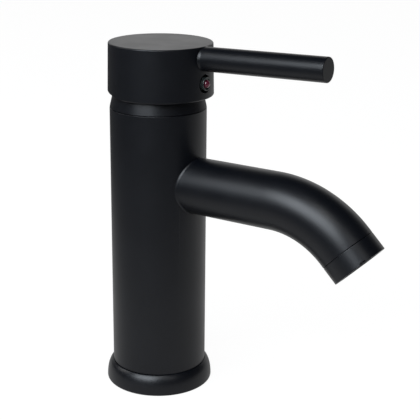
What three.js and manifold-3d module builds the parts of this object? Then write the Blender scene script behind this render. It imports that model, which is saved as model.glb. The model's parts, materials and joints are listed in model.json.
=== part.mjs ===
// Single-lever basin mixer, deck mounted. Millimetres, +Z up, origin at the centre of its foot on the
// deck, spout and lever towards -Y, hot side at -X. The lever turns on Z and lifts on X.
import * as THREE from 'three';
import { mergeVertices } from 'three/addons/utils/BufferGeometryUtils.js';
import Module from 'manifold-3d';

const wasm = await Module();
wasm.setup();

// ---------- Driving dimensions ----------
const gap = 0.3; // clearance between neighbouring pieces
const thinGap = 0.15; // clearance of a pressed pin or a hairline joint
const past = 1; // how far a cutter reaches past a face that it opens

// Body
const bodyDiameter = 46;
const bodyHeight = 139.1; // deck to the shoulder under the collar
const bodyWall = 3.5;
const bodyEdge = 0.2;

// Foot: flange, seal and inlet block
const flangeDiameter = 52.3;
const flangeTopDiameter = 46.8;
const flangeHeight = 10;
const flangeRound = 1.1;
const flangeBelly = 0.1; // how little its side draws in up to the belly
const flangeBellyHeight = 7.6;
const flangeSeatWall = 2; // wall of the body inside the flange
const baseSealWidth = 1.4;
const baseSealHeight = 1.6;
const baseSealLand = 0.8; // flange wall between the body and the seal's groove
const inletBlockHeight = 14;
const hosePortBore = 9; // core of the M10 x 1 hose thread
const hosePortDepth = 8.5;
const studBore = 6.8; // core of the M8 fixing stud thread
const studDepth = 11;
const studOffset = 10;

// Water ways
const feedSpacing = 16.4; // between the hot and the cold way
const feedOffset = -3;
const feedBore = 5.2;
const feedTubeDiameter = 8;
const feedTubeSocket = 3.5;
const outletBore = 8;
const outletOffset = 7.5;
const blockSkirt = 6; // valve block below the spout

// Spout
const spoutDiameter = 26.86;
const spoutBelowSeat = 5.35; // spout axis under the cartridge seat
const spoutWall = 2.43;
const spoutShoulder = 1.03; // step down to the turned end that enters the body
const spoutSpigotLength = 2.7;
const spoutStraight = 64.2; // body axis to the start of the bend
const spoutBendRadius = 50.85;
const spoutBendAngle = 45.15;
const spoutTail = 1.95; // straight end beyond the bend, up to the aerator

// Aerator
const aeratorLength = 9; // visible length of its ring
const aeratorSocketWall = 1.43; // spout wall round the aerator's thread
const aeratorThreadLength = 4.7;
const aeratorWall = 1.4; // of its threaded shell
const aeratorLip = 2.1;
const aeratorLipStep = 0.9; // how far the lip covers the grid's edge
const aeratorFlare = 0.6; // how far the mouth opens past the bore
const aeratorNotchWidth = 3.2;
const aeratorNotchDepth = 0.9;
const gridThickness = 1.6;
const gridPitch = 2.9;
const gridRib = 0.6;
const insertJetCount = 12;
const insertJet = 2.2;
const insertJetInset = 2.8; // from the insert's edge to its jets
const insertSetBack = 0.2;
const insertSkirt = 3;
const insertWaist = 1.2; // how far it draws in above the skirt
const washerThickness = 1.3;
const washerWidth = 2.7;

// Collar
const collarHeight = 6.35; // shown between body and cap
const collarTaper = 1.95; // how far it draws in over that height
const collarWall = 1.5;
const collarTopRise = 2.15; // the part of it inside the cap
const collarOpening = 31.2;
const collarSpigot = 40;
const collarSpigotDepth = 1.7;
const collarSpigotWall = 1.1;
const collarTopRound = 1;

// Cartridge
const cartridgeDiameter = 35;
const cartridgeShell = 1.3;
const seatDepth = 30.1; // body shoulder down to the cartridge seat
const baseFlange = 3;
const baseSpigot = 2;
const fixedDiscThickness = 4;
const movingDiscThickness = 3.6;
const movingDiscDiameter = 25.2;
const carrierThickness = 4.5;
const rotorFlange = 3.3;
const housingRoof = 2.1;
const neckDiameter = 27.2;
const neckHeight = 6;
const rotorDiameter = 22;
const sealSection = 1.7;
const sealHeight = 1.3;
const sealProud = 0.1; // how far a seal stands out of its recess
const pegDiameter = 3.8;
const pegLength = 2.4;
const pegSpacing = 26.4;
const pegOffset = 5;
const housingEdge = 0.4;
const rotorEdge = 0.5;
const chamberWidth = 19; // the hollow under the moving disc, at the inlets
const chamberRearWidth = 11; // and at the outlet
const chamberShoulder = 4.4; // depth of its wide part
const lugWidth = 3; // two lugs of the carrier drive the moving disc
const lugDepth = 1.4;
const lugHeight = 1.6;
const carrierProud = 0.2; // the carrier stands out past the disc
const pocketStraight = 0.6; // the finger's pocket, above the finger's middle
const pocketFlare = 1.4;

// Nut
const nutThread = 36.6;
const nutWrench = 31; // across the flats
const nutHead = 2.6;
const nutHeadRise = 0.5; // body shoulder up to the nut's head

// Spindle
const spindleWidth = 8; // along X
const spindleDepth = 7; // along Y
const pivotAboveSeat = 26;
const pinDiameter = 3;
const pinLength = 20;
const fingerArm = 9.8; // pivot down to the finger's round end
const fingerRound = 2.2;
const fingerThickness = 3.6;
const spindleEye = 2.5; // full depth of the spindle below the pivot
const spindleTaper = 2.5; // and the taper from there to the finger
const liftRange = 25; // degrees

// Handle
const capDiameter = 49.6;
const capHeight = 24.6;
const capWall = 1.8;
const capRoof = 3.2;
const capRound = 1.5; // inside, between wall and roof
const capShift = 1.5; // cap centre in front of the body axis
const capTopEdge = 0.6;
const capRimEdge = 0.3;
const reliefAngle = 6.6; // the rear of the rim is cut back so that the cap can tip
const postDiameter = 17;
const postClearance = 3; // cap rim up to the underside of the post
const webWidth = 10.4;
const socketDepth = 8.6; // spindle end above the underside of the post
const leverDiameter = 11.3;
const leverLength = 62.2; // cap wall to the tip
const leverDrop = 5.67; // cap top down to the lever axis, at the wall
const leverRise = 1.68; // degrees
const leverTipEdge = 0.4;
const leverNeck = 0.5; // how far it is turned down where it meets the cap
const leverNeckLength = 0.85;
const leverRoot = 2; // stock behind the cap's wall line, cut to the round wall
const leverStudDiameter = 5.8;
const leverStudGrip = 10;
const indexDiameter = 8.5;
const indexAboveRim = 7.5;
const indexThickness = 2.6;
const indexRimWidth = 0.8;
const indexDish = 0.7; // how deep the plug's face is dished inside its rim
const indexDotDiameter = 3.8;
const indexDotHeight = 1.1;
const indexDotSeat = 0.6; // how deep its foot sits in the plug
const indexDotFoot = 0.3; // straight edge below its dome
const indexRimSlope = 0.2;
const setScrewDiameter = 4.8;
const setScrewLength = 9.5;
const setScrewHex = 2.5;

// Facets round a circle
const fineSteps = 44; // outside of the body, foot, collar and cap
const middleSteps = 32; // spout, aerator and lever
const innerSteps = 24; // cartridge and blocks
const coarseSteps = 16; // holes, pins and screws
const jetSteps = 8; // jets of the aerator's insert
const bendSteps = 10;

// ---------- Levels and radii that follow ----------
const bodyRadius = bodyDiameter / 2;
const boreRadius = bodyRadius - bodyWall;
const footRadius = boreRadius + flangeSeatWall;
const insertRadius = boreRadius - gap;
const seatZ = bodyHeight - seatDepth;
const blockTopZ = seatZ - gap;
const spoutZ = seatZ - spoutBelowSeat;
const spoutRadius = spoutDiameter / 2;
const spoutBoreRadius = spoutRadius - spoutWall;
const spigotRadius = spoutRadius - spoutShoulder;
const aeratorThreadRadius = spoutRadius - aeratorSocketWall - gap;
const aeratorBoreRadius = aeratorThreadRadius - aeratorWall;
const blockBottomZ = spoutZ - spoutRadius - blockSkirt;
const cavityRadius = cartridgeDiameter / 2 + gap;
const threadRadius = nutThread / 2 + gap;
const counterboreRadius = collarSpigot / 2 + gap;
const counterboreZ = bodyHeight - collarSpigotDepth - gap;
const feedX = feedSpacing / 2;

const baseTopZ = seatZ + baseFlange + baseSpigot;
const fixedDiscZ = baseTopZ + gap;
const movingDiscZ = fixedDiscZ + fixedDiscThickness + gap;
const carrierZ = movingDiscZ + movingDiscThickness + gap;
const rotorZ = carrierZ + carrierThickness + gap;
const housingRoofZ = rotorZ + rotorFlange + gap;
const shoulderZ = housingRoofZ + housingRoof;
const neckTopZ = shoulderZ + neckHeight;
const nutZ = shoulderZ + gap;
const nutHeadZ = bodyHeight + nutHeadRise;
const pivotZ = seatZ + pivotAboveSeat;
const fingerZ = pivotZ - fingerArm;
const rimZ = bodyHeight + collarHeight;
const capTopZ = rimZ + capHeight;
const capRadius = capDiameter / 2;
const postZ = rimZ + postClearance;
const indexZ = rimZ + indexAboveRim;

const lift = THREE.MathUtils.degToRad(liftRange);
const discTravel = fingerArm * Math.sin(lift);
const discStart = discTravel / 2; // the sliding pieces start behind the axis and end in front of it

// ---------- Materials ----------
function finish(color, roughness, metalness) {
  return new THREE.MeshStandardMaterial({ color, roughness, metalness });
}
const blackCoat = finish(0x22262a, 0.42, 0.35);
const brass = finish(0xb08d4a, 0.38, 1);
const copper = finish(0xb06a48, 0.35, 1);
const steel = finish(0xa7abae, 0.3, 1);
const rubber = finish(0x17181a, 0.85, 0);
const whitePlastic = finish(0xe4e4de, 0.5, 0);
const greyPlastic = finish(0x6f7678, 0.3, 0.4);
const blackPlastic = finish(0x1c1d1f, 0.55, 0);
const ceramic = finish(0xf0efe9, 0.12, 0);
const redPlastic = finish(0xb5283a, 0.35, 0);

// ---------- Shape helpers ----------

// A closed solid from a three.js geometry, its faces turned outwards.
function solidOf(geometry) {
  geometry.deleteAttribute('normal');
  geometry.deleteAttribute('uv');
  const merged = mergeVertices(geometry, 1e-4);
  const places = merged.attributes.position;
  const corners = merged.index.array;
  const kept = [];
  const [a, b, c] = [new THREE.Vector3(), new THREE.Vector3(), new THREE.Vector3()];
  let volume = 0;
  for (let i = 0; i < corners.length; i += 3) {
    const [p, q, r] = [corners[i], corners[i + 1], corners[i + 2]];
    if (p === q || q === r || r === p) continue;
    kept.push(p, q, r);
    a.fromBufferAttribute(places, p);
    b.fromBufferAttribute(places, q);
    c.fromBufferAttribute(places, r);
    volume += a.dot(b.cross(c));
  }
  const triVerts = Uint32Array.from(volume < 0 ? kept.reverse() : kept);
  const vertProperties = Float32Array.from(places.array);
  return new wasm.Manifold(new wasm.Mesh({ numProp: 3, vertProperties, triVerts }));
}

function geometryOf(solid) {
  const { vertProperties, triVerts } = solid.getMesh();
  const geometry = new THREE.BufferGeometry();
  geometry.setAttribute('position', new THREE.BufferAttribute(vertProperties, 3));
  geometry.setIndex(new THREE.BufferAttribute(triVerts, 1));
  geometry.computeVertexNormals();
  return geometry;
}

// A profile of [radius, height] points turned about Z; it starts and ends on the axis.
function turned(profile, steps = fineSteps) {
  const points = profile.map(([radius, height]) => new THREE.Vector2(radius, height));
  return solidOf(new THREE.LatheGeometry(points, steps).rotateX(Math.PI / 2));
}

// The same for a profile that closes on itself, clear of the axis.
function turnedRing(profile, steps = fineSteps) {
  return turned([...profile, profile[0]], steps);
}

// A plain disc on Z.
function disc(radius, low, high, steps = innerSteps) {
  return turned([[0, low], [radius, low], [radius, high], [0, high]], steps);
}

// A plain washer or tube on Z.
function tube(outer, inner, low, high, steps = innerSteps) {
  return turnedRing([[inner, low], [outer, low], [outer, high], [inner, high]], steps);
}

// A round bar between two points.
function bar(radius, from, to, steps = coarseSteps) {
  const start = new THREE.Vector3(...from);
  const along = new THREE.Vector3(...to).sub(start);
  const geometry = new THREE.CylinderGeometry(radius, radius, along.length(), steps);
  geometry.translate(0, along.length() / 2, 0);
  const turn = new THREE.Quaternion();
  turn.setFromUnitVectors(new THREE.Vector3(0, 1, 0), along.clone().normalize());
  return solidOf(geometry.applyQuaternion(turn).translate(start.x, start.y, start.z));
}

// A box between two corners.
function box(low, high) {
  const size = high.map((value, i) => value - low[i]);
  const middle = high.map((value, i) => (value + low[i]) / 2);
  return solidOf(new THREE.BoxGeometry(...size).translate(...middle));
}

// A flat shape raised along Z.
function raised(shape, low, high, curveSegments = 6) {
  const options = { depth: high - low, bevelEnabled: false, curveSegments };
  return solidOf(new THREE.ExtrudeGeometry(shape, options).translate(0, 0, low));
}

// A shape drawn in the side view, first Y and then Z, and carried across X by its width.
function across(shape, width, curveSegments = 6) {
  const options = { depth: width, bevelEnabled: false, curveSegments };
  const geometry = new THREE.ExtrudeGeometry(shape, options);
  geometry.rotateX(Math.PI / 2).rotateZ(Math.PI / 2);
  return solidOf(geometry.translate(-width / 2, 0, 0));
}

function outline(points) {
  return new THREE.Shape(points.map(([x, y]) => new THREE.Vector2(x, y)));
}

function polygon(corners, radius, turn = 0) {
  const points = [];
  for (let i = 0; i < corners; i += 1) {
    const angle = turn + (2 * Math.PI * i) / corners;
    points.push([radius * Math.cos(angle), radius * Math.sin(angle)]);
  }
  return points;
}

function cutAll(solid, ...cutters) {
  return cutters.reduce((left, cutter) => left.subtract(cutter), solid);
}

function joinAll(solid, ...others) {
  return others.reduce((whole, other) => whole.add(other), solid);
}

function piece(name, solid, material, parent) {
  const mesh = new THREE.Mesh(geometryOf(solid), material);
  mesh.name = name;
  parent.add(mesh);
  return mesh;
}

const mixer = new THREE.Group();
const fixedParts = new THREE.Group(); // all that stays on the deck
const turret = new THREE.Group(); // turns with the handle
const slider = new THREE.Group(); // turns with it and slides as the lever lifts
const handle = new THREE.Group(); // turns and lifts
mixer.add(fixedParts, turret, slider, handle);

// ---------- Body ----------
function bodyColumn() {
  const shoulder = flangeHeight + gap;
  const shell = turnedRing([
    [boreRadius, 0],
    [footRadius, 0],
    [footRadius, shoulder],
    [bodyRadius - bodyEdge, shoulder],
    [bodyRadius, shoulder + bodyEdge],
    [bodyRadius, bodyHeight - bodyEdge],
    [bodyRadius - bodyEdge, bodyHeight],
    [counterboreRadius, bodyHeight],
    [counterboreRadius, counterboreZ],
    [threadRadius, counterboreZ],
    [threadRadius, shoulderZ],
    [cavityRadius, shoulderZ],
    [cavityRadius, seatZ],
    [boreRadius, seatZ],
  ]);
  const outside = [0, -bodyDiameter, spoutZ];
  const spigotFloor = [0, -(bodyRadius - spoutSpigotLength - gap), spoutZ];
  const spigotHole = bar(spigotRadius + gap, outside, spigotFloor, middleSteps);
  const flowHole = bar(outletBore / 2 + gap, outside, [0, -boreRadius / 2, spoutZ]);
  return cutAll(shell, spigotHole, flowHole);
}

// The casting under the cartridge: two ways up, one way across to the spout.
function valveBlock() {
  const blank = disc(insertRadius, blockBottomZ, blockTopZ);
  const cutters = [
    bar(outletBore / 2, [0, outletOffset, spoutZ - outletBore / 4], [0, outletOffset, seatZ + past]),
    bar(outletBore / 2, [0, outletOffset, spoutZ], [0, -bodyRadius, spoutZ]),
  ];
  const socketTop = blockBottomZ + feedTubeSocket;
  for (const side of [-1, 1]) {
    const x = side * feedX;
    const pegX = (side * pegSpacing) / 2;
    cutters.push(
      bar(feedBore / 2, [x, feedOffset, blockBottomZ - past], [x, feedOffset, seatZ + past]),
      bar(feedTubeDiameter / 2 + gap, [x, feedOffset, blockBottomZ - past], [x, feedOffset, socketTop]),
      bar(pegDiameter / 2 + gap, [pegX, pegOffset, seatZ - pegLength - gap], [pegX, pegOffset, seatZ]),
    );
  }
  return cutAll(blank, ...cutters);
}

function inletBlock() {
  const blank = disc(insertRadius, 0, inletBlockHeight);
  const cutters = [bar(studBore / 2, [0, studOffset, -past], [0, studOffset, studDepth])];
  for (const side of [-1, 1]) {
    const x = side * feedX;
    const socketFloor = inletBlockHeight - feedTubeSocket;
    const above = inletBlockHeight + past;
    cutters.push(
      bar(hosePortBore / 2, [x, feedOffset, -past], [x, feedOffset, hosePortDepth]),
      bar(feedBore / 2, [x, feedOffset, 0], [x, feedOffset, above]),
      bar(feedTubeDiameter / 2 + gap, [x, feedOffset, socketFloor], [x, feedOffset, above]),
    );
  }
  return cutAll(blank, ...cutters);
}

function feedTube() {
  const low = inletBlockHeight - feedTubeSocket + gap;
  const high = blockBottomZ + feedTubeSocket - gap;
  return tube(feedTubeDiameter / 2, feedBore / 2, low, high, coarseSteps);
}

// The bell-shaped foot, with a groove for the seal in its underside.
const sealMiddle = footRadius + gap + baseSealLand + baseSealWidth / 2;
function baseFlangeRing() {
  const outer = flangeDiameter / 2;
  const foot = new THREE.Path();
  foot.moveTo(outer - flangeRound, 0);
  foot.quadraticCurveTo(outer, 0, outer, flangeRound);
  foot.quadraticCurveTo(outer - flangeBelly, flangeBellyHeight, flangeTopDiameter / 2, flangeHeight);
  const bell = foot.getPoints(3).map((point) => [point.x, point.y]);
  const inner = footRadius + gap;
  const grooveIn = sealMiddle - baseSealWidth / 2 - gap;
  const grooveOut = sealMiddle + baseSealWidth / 2 + gap;
  const grooveTop = baseSealHeight + gap;
  return turnedRing([
    [inner, 0],
    [grooveIn, 0],
    [grooveIn, grooveTop],
    [grooveOut, grooveTop],
    [grooveOut, 0],
    ...bell,
    [inner, flangeHeight],
  ]);
}

piece('body_column', bodyColumn(), blackCoat, fixedParts);
piece('valve_block', valveBlock(), brass, fixedParts);
piece('inlet_block', inletBlock(), brass, fixedParts);
for (const [name, side] of [['hot_feed_tube', -1], ['cold_feed_tube', 1]]) {
  piece(name, feedTube(), copper, fixedParts).position.set(side * feedX, feedOffset, 0);
}
piece('base_flange', baseFlangeRing(), blackCoat, fixedParts);
const halfSeal = baseSealWidth / 2;
const baseSeal = tube(sealMiddle + halfSeal, sealMiddle - halfSeal, 0, baseSealHeight, fineSteps);
piece('base_seal', baseSeal, rubber, fixedParts);

// ---------- Spout ----------

// The spout's centre line as a curve of fixed stations: straight, bend, straight.
class SpoutLine extends THREE.Curve {
  constructor(before, after) {
    super();
    const angleEnd = THREE.MathUtils.degToRad(spoutBendAngle);
    this.stations = [];
    this.addStation(-before, spoutZ, 0);
    for (let i = 0; i <= bendSteps; i += 1) {
      const angle = (angleEnd * i) / bendSteps;
      const y = -spoutStraight - spoutBendRadius * Math.sin(angle);
      this.addStation(y, spoutZ - spoutBendRadius * (1 - Math.cos(angle)), angle);
    }
    const last = this.stations[this.stations.length - 1];
    const end = last.point.clone().addScaledVector(last.tangent, after);
    this.addStation(end.y, end.z, angleEnd);
  }

  addStation(y, z, angle) {
    const point = new THREE.Vector3(0, y, z);
    this.stations.push({ point, tangent: new THREE.Vector3(0, -Math.cos(angle), -Math.sin(angle)) });
  }

  getPoint(t) {
    return this.stations[Math.round(t * (this.stations.length - 1))].point.clone();
  }

  getTangent(t) {
    return this.stations[Math.round(t * (this.stations.length - 1))].tangent.clone();
  }

  getUtoTmapping(u) {
    return u;
  }
}

function sweptRound(radius, line, steps) {
  const circle = new THREE.Shape().absarc(0, 0, radius, 0, 2 * Math.PI);
  const options = { steps: line.stations.length - 1, extrudePath: line, curveSegments: steps / 2 };
  return solidOf(new THREE.ExtrudeGeometry(circle, options));
}

const spoutEnd = new SpoutLine(0, spoutTail).stations[bendSteps + 2];
const washerSeat = aeratorThreadLength + gap + washerThickness + gap;

function spoutTube() {
  const outside = sweptRound(spoutRadius, new SpoutLine(bodyRadius / 2, spoutTail), middleSteps);
  const inside = sweptRound(spoutBoreRadius, new SpoutLine(0, spoutTail + past), innerSteps);
  const bodySpace = disc(bodyRadius + thinGap, spoutZ - spoutDiameter, spoutZ + spoutDiameter, fineSteps);
  const spigotEnd = [0, -(bodyRadius - spoutSpigotLength), spoutZ];
  const spigot = bar(spigotRadius, spigotEnd, [0, -bodyRadius - spoutSpigotLength, spoutZ], middleSteps);
  const { point, tangent } = spoutEnd;
  const deep = point.clone().addScaledVector(tangent, -washerSeat);
  const beyond = point.clone().addScaledVector(tangent, past);
  const aeratorSocket = bar(aeratorThreadRadius + gap, deep.toArray(), beyond.toArray(), middleSteps);
  return cutAll(outside.subtract(bodySpace).add(spigot), inside, aeratorSocket);
}
piece('spout_tube', spoutTube(), blackCoat, fixedParts);

// ---------- Aerator: modelled on Z, outlet up, then turned into the spout's end ----------
const aerator = new THREE.Group();
aerator.position.copy(spoutEnd.point);
aerator.quaternion.setFromUnitVectors(new THREE.Vector3(0, 0, 1), spoutEnd.tangent);
fixedParts.add(aerator);

const lipZ = aeratorLength - aeratorLip;
const lipRadius = aeratorBoreRadius - aeratorLipStep;
const gridTopZ = lipZ - gap;
const insertTopZ = gridTopZ - gridThickness - gap;

function aeratorRing() {
  const ring = turnedRing([
    [aeratorBoreRadius, -aeratorThreadLength],
    [aeratorThreadRadius, -aeratorThreadLength],
    [aeratorThreadRadius, thinGap],
    [spoutRadius - bodyEdge, thinGap],
    [spoutRadius, thinGap + bodyEdge],
    [spoutRadius, aeratorLength - bodyEdge],
    [spoutRadius - bodyEdge, aeratorLength],
    [aeratorBoreRadius + aeratorFlare, aeratorLength],
    [lipRadius, lipZ + aeratorLip / 2],
    [lipRadius, lipZ],
    [aeratorBoreRadius, lipZ],
  ], middleSteps);
  // Two notches across the mouth take the key that unscrews it.
  const half = aeratorNotchWidth / 2;
  const floor = aeratorLength - aeratorNotchDepth;
  return ring.subtract(box([-spoutDiameter, -half, floor], [spoutDiameter, half, aeratorLength + past]));
}

function aeratorGrid() {
  const radius = aeratorBoreRadius - gap;
  const plate = new THREE.Shape().absarc(0, 0, radius, 0, 2 * Math.PI);
  const cell = (gridPitch - gridRib) / Math.sqrt(3);
  const reach = Math.ceil(radius / gridPitch);
  for (let row = -reach; row <= reach; row += 1) {
    for (let column = -reach; column <= reach; column += 1) {
      const x = gridPitch * (column + row / 2);
      const y = (gridPitch * row * Math.sqrt(3)) / 2;
      if (Math.hypot(x, y) + cell > lipRadius) continue;
      const hole = polygon(6, cell, Math.PI / 6).map(([dx, dy]) => new THREE.Vector2(x + dx, y + dy));
      plate.holes.push(new THREE.Path(hole));
    }
  }
  return raised(plate, gridTopZ - gridThickness, gridTopZ, middleSteps / 2);
}

function aeratorInsert() {
  const radius = aeratorBoreRadius - gap;
  const waistRadius = radius - insertWaist;
  const low = -aeratorThreadLength + insertSetBack;
  const skirtZ = low + insertSkirt;
  const body = turned([
    [0, low],
    [radius, low],
    [radius, skirtZ],
    [waistRadius, skirtZ + insertWaist],
    [waistRadius, insertTopZ - insertWaist],
    [radius, insertTopZ],
    [0, insertTopZ],
  ], innerSteps);
  const jets = polygon(insertJetCount, radius - insertJetInset - insertJet / 2).map(([x, y]) => (
    bar(insertJet / 2, [x, y, low - past], [x, y, insertTopZ + past], jetSteps)
  ));
  return cutAll(body, ...jets);
}

const washerTop = -aeratorThreadLength - gap;
const washerBore = aeratorThreadRadius - washerWidth;
const washer = tube(aeratorThreadRadius, washerBore, washerTop - washerThickness, washerTop);
piece('aerator_ring', aeratorRing(), blackCoat, aerator);
piece('aerator_grid', aeratorGrid(), blackPlastic, aerator);
piece('aerator_insert', aeratorInsert(), whitePlastic, aerator);
piece('aerator_washer', washer, rubber, aerator);

// ---------- Collar and nut ----------
function collarRing() {
  const low = bodyHeight + gap;
  const top = rimZ + collarTopRise;
  const shownTop = bodyRadius - collarTaper;
  const slope = collarTaper / collarHeight;
  const shoulder = shownTop - slope * (collarTopRise - collarTopRound);
  const inner = shoulder - collarWall;
  const spigot = collarSpigot / 2;
  const rounding = new THREE.Path();
  rounding.moveTo(shoulder, top - collarTopRound);
  rounding.quadraticCurveTo(shoulder, top, shoulder - collarTopRound, top);
  return turnedRing([
    [spigot - collarSpigotWall, bodyHeight - collarSpigotDepth],
    [spigot, bodyHeight - collarSpigotDepth],
    [spigot, low],
    [bodyRadius - bodyEdge, low],
    [bodyRadius - slope * bodyEdge, low + bodyEdge],
    [shownTop, rimZ],
    ...rounding.getPoints(2).map((point) => [point.x, point.y]),
    [collarOpening / 2, top],
    [collarOpening / 2, top - collarWall],
    [inner, top - collarWall],
    [spigot - collarSpigotWall, low + collarWall],
  ]);
}

function cartridgeNut() {
  const bore = neckDiameter / 2 + gap;
  const thread = tube(nutThread / 2, bore, nutZ, nutHeadZ + nutHead / 4);
  const head = raised(outline(polygon(6, nutWrench / Math.sqrt(3))), nutHeadZ, nutHeadZ + nutHead);
  const through = bar(bore, [0, 0, nutHeadZ - past], [0, 0, nutHeadZ + nutHead + past], innerSteps);
  return thread.add(head.subtract(through));
}
piece('collar', collarRing(), blackCoat, fixedParts);
piece('cartridge_nut', cartridgeNut(), brass, fixedParts);

// ---------- Cartridge ----------
const cartridgeRadius = cartridgeDiameter / 2;
const housingBore = cartridgeRadius - cartridgeShell;
const ways = [
  ['hot', -feedX, feedOffset, feedBore / 2],
  ['cold', feedX, feedOffset, feedBore / 2],
  ['outlet', 0, outletOffset, outletBore / 2],
];

function wayCutters(low, high) {
  return ways.map(([, x, y, radius]) => bar(radius, [x, y, low - past], [x, y, high + past]));
}

function cartridgeBase() {
  const flangeTop = seatZ + baseFlange;
  const spigot = housingBore - gap;
  const blank = turned([
    [0, seatZ],
    [cartridgeRadius, seatZ],
    [cartridgeRadius, flangeTop],
    [spigot, flangeTop],
    [spigot, baseTopZ],
    [0, baseTopZ],
  ], innerSteps);
  const pegs = [-1, 1].map((side) => {
    const x = (side * pegSpacing) / 2;
    return bar(pegDiameter / 2, [x, pegOffset, seatZ - pegLength], [x, pegOffset, seatZ + past]);
  });
  const recesses = ways.map(([, x, y, radius]) => (
    bar(radius + 2 * gap + sealSection, [x, y, seatZ - past], [x, y, seatZ + sealHeight + gap - sealProud])
  ));
  return cutAll(joinAll(blank, ...pegs), ...recesses, ...wayCutters(seatZ, baseTopZ));
}

function cartridgeHousing() {
  const low = seatZ + baseFlange + gap;
  const neck = neckDiameter / 2;
  const neckBore = rotorDiameter / 2 + gap;
  return turnedRing([
    [housingBore, low],
    [cartridgeRadius, low],
    [cartridgeRadius, shoulderZ - housingEdge],
    [cartridgeRadius - housingEdge, shoulderZ],
    [neck, shoulderZ],
    [neck, neckTopZ],
    [neckBore, neckTopZ],
    [neckBore, housingRoofZ],
    [housingBore, housingRoofZ],
  ], innerSteps);
}

function fixedDisc() {
  const radius = housingBore - 2 * gap;
  const top = fixedDiscZ + fixedDiscThickness;
  const blank = disc(radius, fixedDiscZ, top);
  return cutAll(blank, ...wayCutters(fixedDiscZ, top));
}

piece('cartridge_base', cartridgeBase(), whitePlastic, fixedParts);
for (const [name, x, y, radius] of ways) {
  const low = seatZ - sealProud;
  const ring = tube(radius + gap + sealSection, radius + gap, low, low + sealHeight, coarseSteps);
  piece(`${name}_seal`, ring, rubber, fixedParts).position.set(x, y, 0);
}
piece('cartridge_housing', cartridgeHousing(), whitePlastic, fixedParts);
piece('fixed_disc', fixedDisc(), ceramic, fixedParts);

// The sliding disc has a chamber in its underside that joins the inlets to the outlet as it moves.
const lugReach = movingDiscDiameter / 2 - lugDepth;

function lug(side, spare) {
  const half = lugWidth / 2 + spare;
  const inner = lugReach - spare;
  const outer = movingDiscDiameter / 2 + (spare > 0 ? past : carrierProud);
  const xs = side < 0 ? [-outer, -inner] : [inner, outer];
  const low = carrierZ - gap - lugHeight - spare;
  return box([xs[0], discStart - half, low], [xs[1], discStart + half, carrierZ + past]);
}

function movingDisc() {
  const radius = movingDiscDiameter / 2;
  const top = movingDiscZ + movingDiscThickness;
  const blank = disc(radius, movingDiscZ, top);
  const front = feedOffset + feedBore / 2 + 2 * gap;
  const rear = outletOffset + outletBore / 2 - gap;
  const wide = chamberWidth / 2;
  const narrow = chamberRearWidth / 2;
  const chamber = outline([
    [-wide, front],
    [wide, front],
    [wide, front + chamberShoulder],
    [narrow, rear],
    [-narrow, rear],
    [-wide, front + chamberShoulder],
  ]);
  const pocket = raised(chamber, movingDiscZ - past, movingDiscZ + movingDiscThickness / 2);
  return cutAll(blank.translate([0, discStart, 0]), pocket, lug(-1, gap), lug(1, gap));
}

function discCarrier() {
  const radius = movingDiscDiameter / 2 + carrierProud;
  const top = carrierZ + carrierThickness;
  const blank = disc(radius, carrierZ, top);
  const held = fingerRound + gap;
  const straightZ = fingerZ + pocketStraight;
  const flare = outline([
    [-held, carrierZ - past],
    [held, carrierZ - past],
    [held, straightZ],
    [held + pocketFlare, top + past],
    [-held - pocketFlare, top + past],
    [-held, straightZ],
  ]);
  const body = joinAll(blank.translate([0, discStart, 0]), lug(-1, 0), lug(1, 0));
  return body.subtract(across(flare, spindleWidth + 2 * gap));
}
piece('moving_disc', movingDisc(), ceramic, slider);
piece('disc_carrier', discCarrier(), whitePlastic, slider);

// The rotor turns in the housing's neck; its slot leaves the spindle room to tip.
function rotor() {
  const neck = rotorDiameter / 2;
  const flange = housingBore - gap;
  const top = neckTopZ + gap;
  const flangeTop = rotorZ + rotorFlange;
  const blank = turned([
    [0, rotorZ],
    [flange, rotorZ],
    [flange, flangeTop],
    [neck, flangeTop],
    [neck, top - rotorEdge],
    [neck - rotorEdge, top],
    [0, top],
  ], innerSteps);
  const half = spindleDepth / 2;
  const tipped = half / Math.cos(lift);
  const above = (top + past - pivotZ) * Math.tan(lift) + tipped + gap;
  const below = (pivotZ + past - rotorZ) * Math.tan(lift) + tipped + gap;
  const slot = outline([
    [-half - gap, top + past],
    [above, top + past],
    [tipped + 2 * gap, pivotZ],
    [half + gap, rotorZ - past],
    [-below, rotorZ - past],
    [-tipped - 2 * gap, pivotZ],
  ]);
  const pinHole = bar(pinDiameter / 2 + thinGap, [-rotorDiameter, 0, pivotZ], [rotorDiameter, 0, pivotZ]);
  return cutAll(blank, across(slot, spindleWidth + 2 * gap), pinHole);
}
const pivotPin = bar(pinDiameter / 2, [-pinLength / 2, 0, pivotZ], [pinLength / 2, 0, pivotZ]);
piece('cartridge_rotor', rotor(), whitePlastic, turret);
piece('pivot_pin', pivotPin, steel, turret);

// ---------- Handle ----------
const socketTopZ = postZ + socketDepth;

function spindle() {
  const half = spindleDepth / 2;
  const waist = fingerThickness / 2;
  const eyeZ = pivotZ - spindleEye;
  const waistZ = eyeZ - spindleTaper;
  const side = new THREE.Shape();
  side.moveTo(-half, socketTopZ - gap);
  side.lineTo(-half, eyeZ);
  side.lineTo(-waist, waistZ);
  side.lineTo(-waist, fingerZ + fingerRound / 2);
  side.absarc(0, fingerZ, fingerRound, Math.PI, 2 * Math.PI, false);
  side.lineTo(waist, fingerZ + fingerRound / 2);
  side.lineTo(waist, waistZ);
  side.lineTo(half, eyeZ);
  side.lineTo(half, socketTopZ - gap);
  side.closePath();
  side.holes.push(new THREE.Path().absarc(0, pivotZ, pinDiameter / 2 + gap, 0, 2 * Math.PI));
  return across(side, spindleWidth, 10);
}

const wallY = -capShift - capRadius; // front of the cap
const leverAxisZ = capTopZ - leverDrop;
const rise = THREE.MathUtils.degToRad(leverRise);

// A point on the lever's axis, by its distance in front of the cap wall.
function onLever(distance) {
  return [0, wallY - distance * Math.cos(rise), leverAxisZ + distance * Math.sin(rise)];
}

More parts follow.
